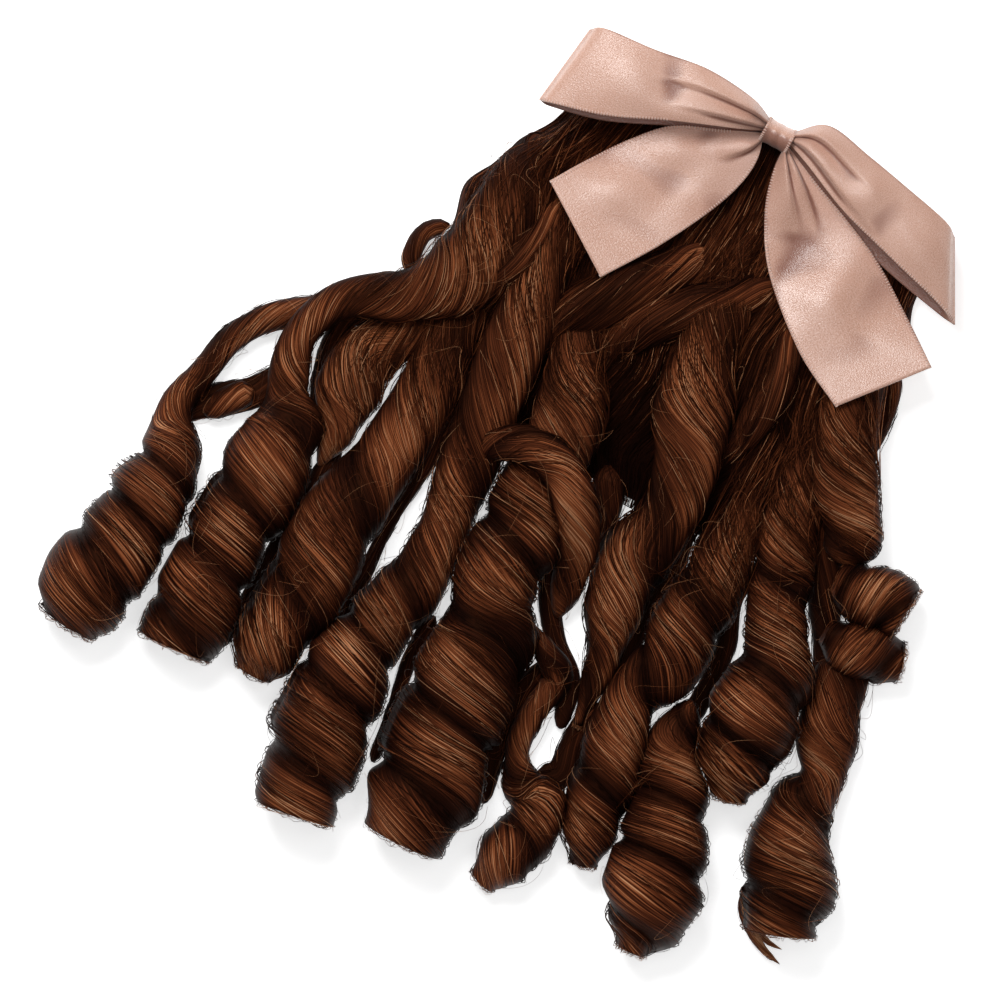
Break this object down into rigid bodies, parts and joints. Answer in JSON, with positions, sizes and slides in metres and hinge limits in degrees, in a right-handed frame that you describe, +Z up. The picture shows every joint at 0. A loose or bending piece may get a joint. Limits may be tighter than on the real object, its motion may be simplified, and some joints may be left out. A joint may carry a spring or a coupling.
{
  "type": "ringlet hairpiece",
  "caption": "Clip-in hairpiece of long brown ringlets with a dusty pink satin bow, lying flat on its back.",
  "frame": {"origin": "middle of the hair clip's underside, on the surface that the hairpiece lies on", "axes": "+Z up from the surface, +X along the bow to its right loop, the hair hangs towards -Y"},
  "size_m": [0.3317, 0.3341, 0.0375],
  "materials": {
    "hair": "glossy synthetic hair fibre",
    "satin": "satin ribbon",
    "clip": "semi-gloss black"
  },
  "bodies": {
    "root": {"crown_hair": "hair", "ringlet_far_left": "hair", "ringlet_left": "hair", "ringlet_left_inner": "hair", "ringlet_left_low": "hair", "ringlet_middle": "hair", "ringlet_middle_right": "hair", "ringlet_tip_curl": "hair", "ringlet_right_inner": "hair", "ringlet_right_low": "hair", "ringlet_right": "hair", "ringlet_far_right": "hair", "roll_right_upper": "hair", "roll_right_lower": "hair", "lock_far_right": "hair", "lock_left_inner": "hair", "lock_cross": "hair", "lock_arch": "hair", "lock_side_left": "hair", "lock_side_right": "hair", "bow_loop_left": "satin", "bow_loop_right": "satin", "bow_tail_left": "satin", "bow_tail_right": "satin", "bow_knot": "satin", "clip_plate": "clip"}
  },
  "joints": []
}
